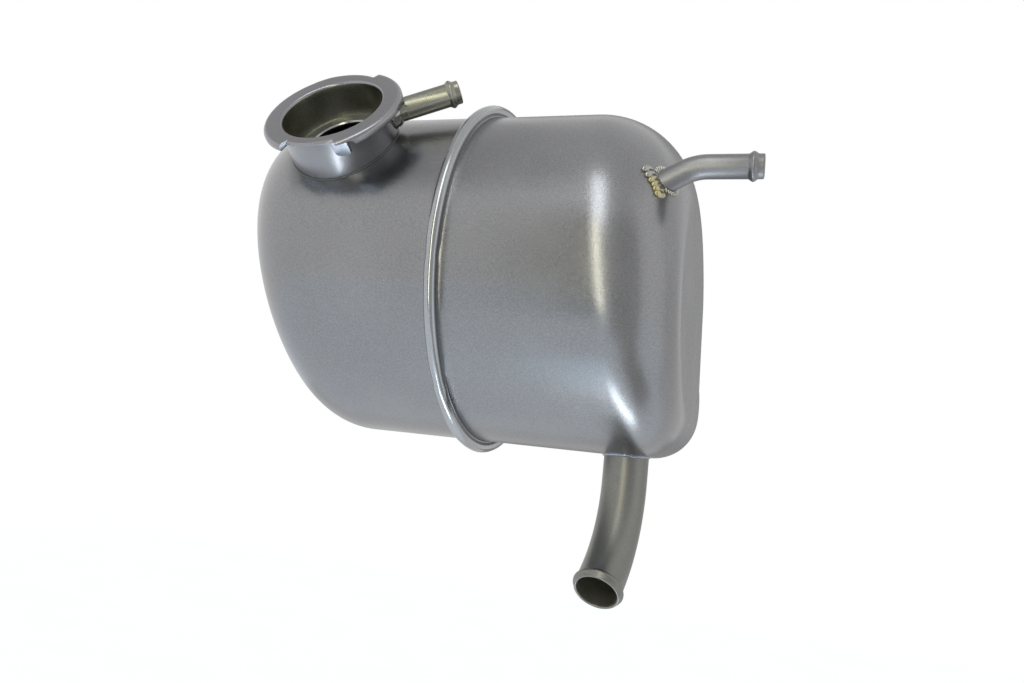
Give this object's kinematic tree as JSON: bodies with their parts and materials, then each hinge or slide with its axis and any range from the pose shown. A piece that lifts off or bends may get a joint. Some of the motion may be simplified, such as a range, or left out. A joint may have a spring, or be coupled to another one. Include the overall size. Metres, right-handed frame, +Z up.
{
  "type": "coolant expansion tank",
  "caption": "Welded metal coolant expansion tank: rounded body with a rolled seam band, a leaning bayonet filler neck with a spout, a bent vent pipe and a curved outlet pipe.",
  "frame": {"origin": "on the tank's axis, in the middle of the seam between the two shells", "axes": "+X along the tank's axis to the vent end, +Z up, away from the outlet pipe, -Y to the side that the filler neck leans to"},
  "size_m": [0.2418, 0.1712, 0.2202],
  "materials": {
    "satin_shell": "satin, bead blasted sheet with a fine grain",
    "bright_seam": "smooth and brighter than the shells",
    "neck_metal": "smooth pressed metal, semi-bright",
    "pipe_metal": "satin drawn tube",
    "weld_metal": "bright rippled weld"
  },
  "bodies": {
    "root": {"shell_left": "satin_shell", "shell_right": "satin_shell", "seam_band": "bright_seam", "filler_neck": "neck_metal", "overflow_spout": "pipe_metal", "vent_pipe": "pipe_metal", "outlet_pipe": "pipe_metal", "neck_weld": "weld_metal", "spout_weld": "weld_metal", "vent_weld": "weld_metal", "outlet_weld": "weld_metal"}
  },
  "joints": []
}
